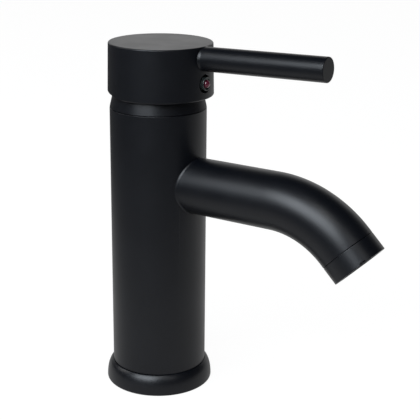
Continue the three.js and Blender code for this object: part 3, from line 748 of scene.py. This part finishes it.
def makeFoot():
    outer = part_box("base_flange")[1].x
    grooveIn, grooveOut, grooveTop = foot["groove"]
    inset, bellyHeight = foot["belly"]
    side = (outer, foot["round"])
    piece = turnedPiece("footFlange", [
        (foot["bore"], 0),
        (grooveIn, 0),
        (grooveIn, grooveTop),
        (grooveOut, grooveTop),
        (grooveOut, 0),
        (outer - foot["round"], 0),
        *curvePoints((outer - foot["round"], 0), (outer, 0), side, 6),
        *curvePoints(side, (outer - inset, bellyHeight), (foot["topRadius"], flangeTop), 16),
        (foot["bore"], flangeTop),
    ], foot["steps"], closed=True)
    roundEdges(piece, foot["edge"], 2, 40)
    dress(piece, "black_coat", "mixer_body", "base_flange")


footSeal = {"steps": 128, "width": 1.4 * mm, "edge": 0.45 * mm}


def makeFootSeal():
    low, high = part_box("base_seal")
    inner = high.x - footSeal["width"]
    piece = turnedPiece("footSeal", [
        (inner, low.z), (high.x, low.z), (high.x, high.z), (inner, high.z),
    ], footSeal["steps"], closed=True)
    roundEdges(piece, footSeal["edge"], 4)
    dress(piece, "black_rubber", "mixer_body", "base_seal")


# Inlet block in the foot, with two hose ports and the stud hole
inlet = {
    "steps": 96,
    "edge": 0.3 * mm,
    "sink": 0.5 * mm,
    "hose": {"radius": 4.5 * mm, "depth": 8.5 * mm, "pitch": 1.0 * mm},
    "stud": {"radius": 3.4 * mm, "depth": 11 * mm, "pitch": 1.25 * mm},
    "feedRadius": 2.6 * mm,
    "socket": (4.3 * mm, 3.5 * mm),  # for the feed tube: radius and depth
    "ways": (8.2 * mm, -3 * mm),
    "studPlace": (0, 10 * mm),
}
thread = {"rib": 0.5, "sink": 0.2, "steps": 40}  # radius and depth as shares of the pitch


def sunkHole(at, hole):
    # A drilled hole from below, its mouth countersunk
    sink = inlet["sink"]
    cutter = turnedPiece("sunkHole", [
        (hole["radius"] + 2 * sink, -sink),
        (hole["radius"], sink),
        (hole["radius"], hole["depth"]),
    ], boreSteps)
    place(cutter, (*at, 0))
    return cutter


def threadCoil(name, at, hole):
    # A V-shaped rib wound up the wall of a hole
    pitch, radius = hole["pitch"], hole["radius"]
    turns = int((hole["depth"] - 2 * pitch) / pitch)
    start = (radius - thread["sink"] * pitch, 0, pitch)
    coil = newRing(name, 3, thread["rib"] * pitch, start, toFront)
    applyModifier(
        coil, "SCREW", axis="Z", screw_offset=pitch, iterations=turns, steps=thread["steps"],
        render_steps=thread["steps"], angle=2 * math.pi, use_merge_vertices=False,
    )
    enterEdit(coil)
    closeEnds(False)
    leaveEdit()
    place(coil, (*at, 0))
    dress(coil, "brass", "mixer_body")


def makeInlet():
    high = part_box("inlet_block")[1]
    piece = turnedPiece("inletBlock", [(high.x, 0), (high.x, high.z)], inlet["steps"])
    roundEdges(piece, inlet["edge"])
    waySpread, wayOffset = inlet["ways"]
    socketRadius, socketDepth = inlet["socket"]
    combine(piece, sunkHole(inlet["studPlace"], inlet["stud"]), "DIFFERENCE")
    for side, name in ((-1, "hotPortThread"), (1, "coldPortThread")):
        at = (side * waySpread, wayOffset)
        combine(piece, sunkHole(at, inlet["hose"]), "DIFFERENCE")
        feed = turnedPiece("feed", [
            (inlet["feedRadius"], over),
            (inlet["feedRadius"], high.z - socketDepth),
            (socketRadius, high.z - socketDepth),
            (socketRadius, high.z + over),
        ], boreSteps)
        place(feed, (*at, 0))
        combine(piece, feed, "DIFFERENCE")
        threadCoil(name, at, inlet["hose"])
    threadCoil("studHoleThread", inlet["studPlace"], inlet["stud"])
    dress(piece, "brass", "mixer_body", "inlet_block")


makeBody()
makeFoot()
makeFootSeal()
makeInlet()
print("body and foot are built")


# Spout: a ring laid on the round body, drawn out, bent and led back as the bore

spout = {
    "steps": 128,
    "bendSteps": 44,
    "bore": 11.0 * mm,
    "socket": (12.0 * mm, 6.6 * mm),  # for the aerator: radius and depth
    "spigot": (12.4 * mm, 11.2 * mm, 20.3 * mm, 26 * mm),  # both radii, and from where to where
    "rootGap": 0.06 * mm,
    "flare": (0.34 * mm, 0.9 * mm),  # how far it grows at the root, and over what length
    "flareLean": 0.7,  # how far along that length its curve turns
    "straight": 64.2 * mm,
    "bendRadius": 50.85 * mm,
    "bendAngle": 45.15,
    "tail": 1.95 * mm,
    "endEdge": 0.15 * mm,
}
bendTurn = math.radians(spout["bendAngle"])
bendMiddle = Vector((0, -spout["straight"], spoutHeight - spout["bendRadius"]))
spoutAim = Vector((0, -math.cos(bendTurn), -math.sin(bendTurn)))
bendEnd = bendMiddle + spout["bendRadius"] * Vector((0, -math.sin(bendTurn), math.cos(bendTurn)))
spoutEnd = bendEnd + spout["tail"] * spoutAim
aimTurn = (math.radians(90) + bendTurn, 0, 0)  # turns +Z to the way the spout points
cornerCut = 0.3  # how far a rounded corner's middle stands in, as a share of its radius


def alongBody(grow, shift):
    # Extrudes the selected ring along Y and scales it about the spout's axis
    bpy.ops.mesh.extrude_region_move(TRANSFORM_OT_translate={"value": (0, shift, 0)})
    bpy.ops.transform.resize(value=(grow, 1, grow), center_override=(0, 0, spoutHeight))


def flatten(y):
    bpy.ops.transform.resize(value=(1, 0, 1), center_override=(0, y, spoutHeight))


def layOnBody(piece):
    radius = bodyRadius + spout["rootGap"]
    form = turnedPiece("bodyForm", [(radius, 0), (radius, bodyHigh.z)], formSteps)
    applyModifier(
        piece, "SHRINKWRAP", target=form, wrap_method="PROJECT", use_project_y=True,
        use_negative_direction=False, use_positive_direction=True,
    )
    bpy.data.objects.remove(form)


def makeSpout():
    bore = spout["bore"]
    growth, reach = spout["flare"]
    inFront = (0, -1.5 * bodyRadius, spoutHeight)  # clear of the body
    piece = newRing("spoutTube", spout["steps"], bore, inFront, toFront)
    enterEdit(piece)
    bpy.ops.mesh.select_all(action="SELECT")
    alongBody((spoutRadius + growth) / bore, 0)
    bpy.ops.object.mode_set(mode="OBJECT")
    layOnBody(piece)
    # Led down the flare into the tube's side and drawn out to the bend
    enterEdit(piece)
    middle = (spoutRadius + bore) / 2
    pickOpenEdges(piece, lambda at: math.hypot(at.x, at.z - spoutHeight) > middle)
    radius, sink = spoutRadius + growth, 0
    lean = (spoutRadius, spout["flareLean"] * reach)
    for nextRadius, nextSink in curvePoints((radius, sink), lean, (spoutRadius, reach), 6):
        alongBody(nextRadius / radius, sink - nextSink)
        radius, sink = nextRadius, nextSink
    alongBody(1, 0)
    flatten(-spout["straight"])
    bpy.ops.mesh.spin(steps=spout["bendSteps"], angle=-bendTurn, center=bendMiddle, axis=(1, 0, 0))
    socketRadius, socketDepth = spout["socket"]
    endEdge = spout["endEdge"]
    drawAlong([
        (spoutRadius, -spout["tail"]),
        (spoutRadius, -endEdge),
        (spoutRadius - cornerCut * endEdge, -cornerCut * endEdge),
        (spoutRadius - endEdge, 0),
        (socketRadius, 0),
        (socketRadius, -socketDepth),
        (bore, -socketDepth),
    ], spoutEnd, spoutAim)
    # Back along the bend, to the root
    backBend = bendTurn - (socketDepth - spout["tail"]) / spout["bendRadius"]
    bpy.ops.mesh.spin(steps=spout["bendSteps"], angle=backBend, center=bendMiddle, axis=(1, 0, 0))
    closeEnds(True)
    leaveEdit()
    spigotRadius, spigotBore, inner, outer = spout["spigot"]
    spigot = turnedPiece("spigot", [
        (spigotBore, inner),
        (spigotRadius, inner),
        (spigotRadius, outer),
        (spigotBore, outer),
    ], spout["steps"], closed=True)
    place(spigot, turn=(0, 0, math.pi / spout["steps"]))
    place(spigot, (0, 0, spoutHeight), toFront)
    combine(piece, spigot, "UNION")
    dress(piece, "black_coat", "mixer_body", "spout_tube")


makeSpout()
print("spout is built")


# Aerator, made on Z with its mouth up and then turned into the spout's end

aerator = {
    "steps": 128,
    "length": 9 * mm,
    "seam": 0.15 * mm,
    "edge": 0.2 * mm,
    "threadLength": 4.7 * mm,
    "threadRadius": 11.7 * mm,
    "bore": 10.3 * mm,
    "lip": 2.1 * mm,
    "lipRadius": 9.4 * mm,
    "flare": 0.6 * mm,
    "notch": (3.2 * mm, 0.9 * mm, 1.7 * mm),  # width, depth and reach inwards
    "notchTurn": -39,
}
grid = {"thickness": 1.6 * mm, "pitch": 2.9 * mm, "rib": 0.6 * mm, "edge": 0.12 * mm}
insert = {
    "steps": 96,
    "setBack": 0.2 * mm,  # from the ring's inner end
    "jets": 12,
    "jetSteps": 24,
    "jetRadius": 1.1 * mm,
    "jetCircle": 6.1 * mm,
    "skirt": 3 * mm,
    "waist": 1.2 * mm,
    "edge": 0.2 * mm,
}


def intoSpout(piece, *rest):
    place(piece, spoutEnd, aimTurn)
    dress(piece, *rest)


def makeAeratorRing():
    length, bore, lip = aerator["length"], aerator["bore"], aerator["lip"]
    piece = turnedPiece("aeratorRing", [
        (bore, -aerator["threadLength"]),
        (aerator["threadRadius"], -aerator["threadLength"]),
        (aerator["threadRadius"], aerator["seam"]),
        (spoutRadius, aerator["seam"]),
        (spoutRadius, length),
        (bore + aerator["flare"], length),
        (aerator["lipRadius"], length - lip / 2),
        (aerator["lipRadius"], length - lip),
        (bore, length - lip),
    ], aerator["steps"], closed=True)
    roundEdges(piece, aerator["edge"], 3, 40)
    width, depth, reach = aerator["notch"]
    edge = aerator["edge"]
    for turn in (aerator["notchTurn"], aerator["notchTurn"] + 180):
        low = (spoutRadius - reach, -width / 2, length - depth)
        high = (2 * spoutRadius, width / 2, length - edge)
        slot = block("slot", low, high)
        enterEdit(slot, "FACE")
        pickFaces(slot, lambda middle, normal: normal.z > 0.9)
        bpy.ops.mesh.extrude_region_move(TRANSFORM_OT_translate={"value": (0, 0, 2 * edge)})
        bpy.ops.transform.resize(value=(1, 1 + 4 * edge / width, 1), center_override=(0, 0, length))
        leaveEdit()
        place(slot, turn=(0, 0, math.radians(turn)))
        combine(piece, slot, "DIFFERENCE")
    intoSpout(piece, "black_coat", "mixer_body", "aerator_ring")


def makeGrid():
    top = aerator["length"] - aerator["lip"] - fit
    low = top - grid["thickness"]
    radius = aerator["bore"] - fit
    piece = turnedPiece("aeratorGrid", [(radius, low), (radius, top)], aerator["steps"])
    cell = (grid["pitch"] - grid["rib"]) / math.sqrt(3)
    edge = grid["edge"]
    hexagon = turnedPiece("cells", [
        (cell + 2 * edge, low - edge),
        (cell, low + edge),
        (cell, top - edge),
        (cell + 2 * edge, top + edge),
    ], 6)
    reach = int(radius / grid["pitch"]) + 1
    copies = []
    for row in range(-reach, reach + 1):
        for column in range(-reach, reach + 1):
            x = grid["pitch"] * (column + row / 2)
            y = grid["pitch"] * row * math.sqrt(3) / 2
            if math.hypot(x, y) + cell <= aerator["lipRadius"]:
                copy = hexagon.copy()
                copy.data = hexagon.data.copy()
                copy.location = (x, y, 0)
                bpy.context.scene.collection.objects.link(copy)
                copies.append(copy)
    bpy.data.objects.remove(hexagon)
    deselectAll()
    for copy in copies:
        copy.select_set(True)
    bpy.context.view_layer.objects.active = copies[0]
    bpy.ops.object.join()
    settle()
    combine(piece, bpy.context.active_object, "DIFFERENCE")
    intoSpout(piece, "black_plastic", "mixer_body", "aerator_grid")


def makeInsert():
    radius = aerator["bore"] - fit
    low = -aerator["threadLength"] + insert["setBack"]
    top = aerator["length"] - aerator["lip"] - 2 * fit - grid["thickness"]
    waist = insert["waist"]
    piece = turnedPiece("aeratorInsert", [
        (radius, low),
        (radius, low + insert["skirt"]),
        (radius - waist, low + insert["skirt"] + waist),
        (radius - waist, top - waist),
        (radius, top),
    ], insert["steps"])
    roundEdges(piece, insert["edge"])
    circle = insert["jetCircle"]
    for i in range(insert["jets"]):
        angle = 2 * math.pi * i / insert["jets"]
        jet = turnedPiece("jet", [
            (insert["jetRadius"], low - waist),
            (insert["jetRadius"], top + waist),
        ], insert["jetSteps"])
        place(jet, (circle * math.cos(angle), circle * math.sin(angle), 0))
        combine(piece, jet, "DIFFERENCE")
    intoSpout(piece, "white_plastic", "mixer_body", "aerator_insert")


makeAeratorRing()
makeGrid()
makeInsert()
print("aerator is built")


# Collar, and the nut under it

collar = {
    "steps": 160,
    "height": 6.35 * mm,  # of what shows below the cap
    "taper": 1.45 * mm,  # how far it draws in over that height
    "wall": 1.5 * mm,
    "topRound": 1 * mm,
    "opening": 15.6 * mm,
    "spigot": (20.0 * mm, 18.9 * mm),
    "edge": 0.12 * mm,
    "seam": (0.5 * mm, 0.3 * mm),  # depth and height of the groove above the body's shoulder
    "gap": 0.05 * mm,  # behind the groove
}


def makeCollar():
    low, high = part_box("collar")
    seamDepth, seamHeight = collar["seam"]
    spigotOut, spigotIn = collar["spigot"]
    wall, topRound = collar["wall"], collar["topRound"]
    seat = bodyHigh.z + collar["gap"]
    ledge = bodyHigh.z + seamHeight
    slope = collar["taper"] / collar["height"]
    shoulder = bodyRadius - slope * (high.z - topRound - bodyHigh.z)
    side = (shoulder, high.z - topRound)
    piece = turnedPiece("collarRing", [
        (spigotIn, low.z),
        (spigotOut, low.z),
        (spigotOut, seat),
        (bodyRadius - seamDepth, seat),
        (bodyRadius - seamDepth, ledge),
        (bodyRadius - slope * seamHeight, ledge),
        side,
        *curvePoints(side, (shoulder, high.z), (shoulder - topRound, high.z), 8),
        (collar["opening"], high.z),
        (collar["opening"], high.z - wall),
        (shoulder - wall, high.z - wall),
        (spigotIn, ledge + wall),
    ], collar["steps"], closed=True)
    roundEdges(piece, collar["edge"], 3, 40)
    dress(piece, "black_coat", "mixer_body", "collar")


nut = {
    "steps": 96,
    "thread": 18.3 * mm,
    "across": 31 * mm,
    "head": 2.6 * mm,
    "bore": 13.9 * mm,
    "edge": 0.15 * mm,
}


def makeNut():
    low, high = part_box("cartridge_nut")
    head = high.z - nut["head"]
    bore, threadRadius = nut["bore"], nut["thread"]
    piece = turnedPiece("cartridgeNut", [
        (bore, low.z),
        (threadRadius, low.z),
        (threadRadius, head),
        (bore, head),
    ], nut["steps"], closed=True)
    # The head's corners are turned off, and its hole is countersunk
    corner = nut["across"] / math.sqrt(3)
    hexagon = turnedPiece("head", [(corner, head - fit), (corner, high.z)], 6)
    cone = turnedPiece("cone", [
        (corner, head - 2 * fit),
        (corner + 2 * fit, head),
        (corner + 2 * fit, high.z - 3 * fit),
        (nut["across"] / 2 - fit, high.z + fit),
    ], nut["steps"])
    combine(hexagon, cone, "INTERSECT")
    hole = turnedPiece("hole", [
        (bore, head - over),
        (bore, high.z - fit),
        (bore + 2 * fit, high.z + fit),
    ], nut["steps"])
    combine(hexagon, hole, "DIFFERENCE")
    combine(piece, hexagon, "UNION")
    roundEdges(piece, nut["edge"], 2, 40, clamp=False)
    dress(piece, "brass", "mixer_body", "cartridge_nut")


makeCollar()
makeNut()
print("collar and nut are built")


# Handle

lowCap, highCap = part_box("handle_cap")
capRadius = highCap.x
capMiddle = (lowCap.y + highCap.y) / 2
wallFront = lowCap.y
cap = {
    "steps": 192,
    "wall": 1.8 * mm,
    "roof": 3.2 * mm,
    "insideRound": 1.5 * mm,
    "topEdge": 0.6 * mm,
    "rimEdge": 0.7 * mm,
    "draft": (0.2 * mm, -0.25 * mm),  # how far the wall stands out at the rim and at the top
    "relief": 6.6,  # degrees by which the rim's rear half slopes up, for the lift
    "reliefDepth": 20 * mm,
    "postRadius": 8.5 * mm,
    "postClearance": 3 * mm,
    "webWidth": 10.4 * mm,
    "socket": (4.3 * mm, 3.8 * mm, 8.6 * mm),  # for the spindle: half width, half depth, height
    "innerEdge": 0.3 * mm,
}
lever = {
    "steps": 128,
    "rise": 1.68,
    "axisDrop": 5.67 * mm,
    "radius": 5.65 * mm,
    "length": 62.2 * mm,
    "tipEdge": 0.4 * mm,
    "flare": (0.55 * mm, 0.9 * mm),  # how far it grows at the root, and how far out it starts
    "root": 2 * mm,  # how far in the rod is drawn before the cap's wall cuts it
    "gap": 0.15 * mm,
    "stud": (3.2 * mm, 10.3 * mm),  # radius, and how far it reaches into rod and cap
}
index = {
    "steps": 96,
    "cutStart": 2 * mm,  # in front of the cap's wall
    "holeRadius": 4.25 * mm,
    "holeDepth": 3.2 * mm,
    "mouthEdge": 0.25 * mm,
    "plugRadius": 3.2 * mm,
    "proud": 0.9 * mm,
    "rim": 0.65 * mm,
    "rimEdge": 0.25 * mm,
    "dish": 0.7 * mm,
    "dotSeat": 0.6 * mm,
    "dotGap": 0.1 * mm,
    "dotRise": 1.15 * mm,  # from the plug's rim
    "dotPole": 0.06,  # where the dome is closed, as a share of its radius
    "screwRadius": 2.7 * mm,
}
indexHeight = (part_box("index_plug")[0].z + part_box("index_plug")[1].z) / 2
leverRoot = Vector((0, wallFront, highCap.z - lever["axisDrop"]))
leverTurn = (math.radians(90 - lever["rise"]), 0, 0)  # turns +Z to the way the lever points


def wallRadius(height):
    # The cap draws in a little towards its top
    share = (height - lowCap.z) / (highCap.z - lowCap.z)
    atRim, atTop = cap["draft"]
    return capRadius + (1 - share) * atRim + share * atTop


def wallForm(name, gap, steps):
    # A solid with the cap's outer wall, that much larger, and longer at both ends
    heights = (lowCap.z - past, highCap.z + past)
    form = turnedPiece(name, [(wallRadius(height) + gap, height) for height in heights], steps)
    place(form, (0, capMiddle, 0))
    return form


def roundOut(radius, end, edge, count):
    # Points of a quarter round from the side of a turned piece onto its end
    return arcPoints((radius - edge, end - edge), edge, 0, 90, count)


def cutStudHole(piece, start, end):
    # Along the lever, distances being taken from the cap's wall
    radius = lever["stud"][0]
    stud = turnedPiece("stud", [(radius, start), (radius, end)], boreSteps)
    place(stud, leverRoot, leverTurn)
    combine(piece, stud, "DIFFERENCE")


def makeCap():
    rim, top = lowCap.z, highCap.z
    inside = capRadius - cap["wall"]
    roof = top - cap["roof"]
    rimEdge = cap["rimEdge"]
    piece = turnedPiece("handleCap", [
        *reversed(roundOut(inside, roof, cap["insideRound"], 6)),
        (inside, rim + rimEdge),
        (inside + cornerCut * rimEdge, rim + cornerCut * rimEdge),
        (inside + rimEdge, rim),
        *arcPoints((wallRadius(rim) - rimEdge, rim + rimEdge), rimEdge, -90, 0, 4),
        *roundOut(wallRadius(top), top, cap["topEdge"], 6),
    ], cap["steps"])
    place(piece, (0, capMiddle, 0))
    # A post for the spindle, joined to the front wall by a web
    postEnd, postRadius = rim + cap["postClearance"], cap["postRadius"]
    post = turnedPiece("post", [
        (postRadius - fit, postEnd),
        (postRadius, postEnd + fit),
        (postRadius, roof + over),
    ], holeSteps)
    combine(piece, post, "UNION")
    half = cap["webWidth"] / 2
    webFront = wallFront + cap["wall"] / 2
    web = block("web", (-half, webFront, postEnd), (half, 0, roof + over))
    roundEdges(web, cap["innerEdge"])
    combine(piece, web, "UNION")
    width, depth, height = cap["socket"]
    socket = block("socket", (-width, -depth, postEnd - over), (width, depth, postEnd + height))
    roundEdges(socket, cap["innerEdge"])
    combine(piece, socket, "DIFFERENCE")
    wide = 2 * capRadius
    relief = block("relief", (-wide, 0, -cap["reliefDepth"]), (wide, wide, 0))
    place(relief, (0, 0, rim), (math.radians(cap["relief"]), 0, 0))
    combine(piece, relief, "DIFFERENCE")
    cutIndexHole(piece)
    cutStudHole(piece, -lever["stud"][1], past)
    dress(piece, "black_coat", "handle", "handle_cap")


def cutIndexHole(piece):
    # The mouth's edge is broken where it meets the round wall
    radius, edge = index["holeRadius"], index["mouthEdge"]
    outside = (0, wallFront - index["cutStart"], indexHeight)
    inside = (0, wallFront + index["holeDepth"], indexHeight)
    cutter = newRing("indexCutter", index["steps"], radius, outside, toFront)
    form = wallForm("capForm", 0, formSteps)
    enterEdit(cutter)
    bpy.ops.mesh.select_all(action="SELECT")
    bpy.ops.mesh.extrude_region_move()
    grow = 1 + edge / radius
    bpy.ops.transform.resize(value=(grow, 1, grow), center_override=outside)
    bpy.ops.object.mode_set(mode="OBJECT")
    applyModifier(cutter, "SHRINKWRAP", target=form, wrap_method="PROJECT", use_project_y=True)
    bpy.data.objects.remove(form)
    between = radius + edge / 2

    def fromAxis(at):
        return math.hypot(at.x, at.z - indexHeight)

    enterEdit(cutter)
    pickOpenEdges(cutter, lambda at: fromAxis(at) < between)
    bpy.ops.transform.translate(value=(0, edge, 0))
    bpy.ops.mesh.extrude_region_move()
    bpy.ops.transform.resize(value=(1, 0, 1), center_override=inside)
    pickOpenEdges(cutter, lambda at: fromAxis(at) > between)
    bpy.ops.mesh.extrude_region_move(TRANSFORM_OT_translate={"value": (0, -edge, 0)})
    bpy.ops.transform.resize(value=(grow, 1, grow), center_override=outside)
    bpy.ops.mesh.extrude_region_move()
    bpy.ops.transform.resize(value=(1, 0, 1), center_override=outside)
    closeEnds(False)
    leaveEdit()
    combine(piece, cutter, "DIFFERENCE")
    screwRadius = index["screwRadius"]
    screw = turnedPiece("screw", [(screwRadius, 0), (screwRadius, -wallFront)], boreSteps)
    place(screw, (0, 0, indexHeight), toFront)
    combine(piece, screw, "DIFFERENCE")


def makeLever():
    radius, tipEdge = lever["radius"], lever["tipEdge"]
    growth, reach = lever["flare"]
    piece = turnedPiece("leverRod", [
        (radius + growth, -lever["root"]),
        *curvePoints((radius + growth, -reach), (radius, 0), (radius, reach), 8),
        (radius, lever["length"] - tipEdge),
        *roundOut(radius, lever["length"], tipEdge, 5),
    ], lever["steps"])
    place(piece, leverRoot, leverTurn)
    combine(piece, wallForm("space", lever["gap"], cap["steps"]), "DIFFERENCE")
    cutStudHole(piece, -past, lever["stud"][1])
    dress(piece, "black_coat", "handle", "lever_rod")


def makeIndex():
    # Plug and dot are made on Z, face up, and turned to face the front
    radius, rim, edge, dish = index["plugRadius"], index["rim"], index["rimEdge"], index["dish"]
    faceY = capMiddle - wallRadius(indexHeight) - index["proud"]
    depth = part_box("index_plug")[1].y - faceY
    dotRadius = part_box("index_dot")[1].x
    seat = dotRadius + index["dotGap"]
    floor = dish + index["dotSeat"]
    inside = radius - rim
    plug = turnedPiece("indexPlug", [
        (seat, -floor),
        (seat, -dish),
        *curvePoints((seat, -dish), (inside, -dish), (inside, -edge), 8),
        *arcPoints((inside + edge, -edge), edge, 180, 90, 4)[1:],
        *roundOut(radius, 0, edge, 5)[::-1],
        (radius, -depth),
    ], index["steps"])
    place(plug, (0, faceY, indexHeight), toFront)
    dress(plug, "grey_plastic", "handle", "index_plug")
    base, top = -floor + 2 * fit, index["dotRise"]
    pole = index["dotPole"] * dotRadius
    dot = turnedPiece("indexDot", [
        (dotRadius, base),
        (dotRadius, -dish),
        *curvePoints((dotRadius, -dish), (dotRadius, top), (pole, top), 14),
    ], boreSteps)
    place(dot, (0, faceY, indexHeight), toFront)
    dress(dot, "red_plastic", "handle", "index_dot")


makeCap()
makeLever()
makeIndex()
print("handle is built")
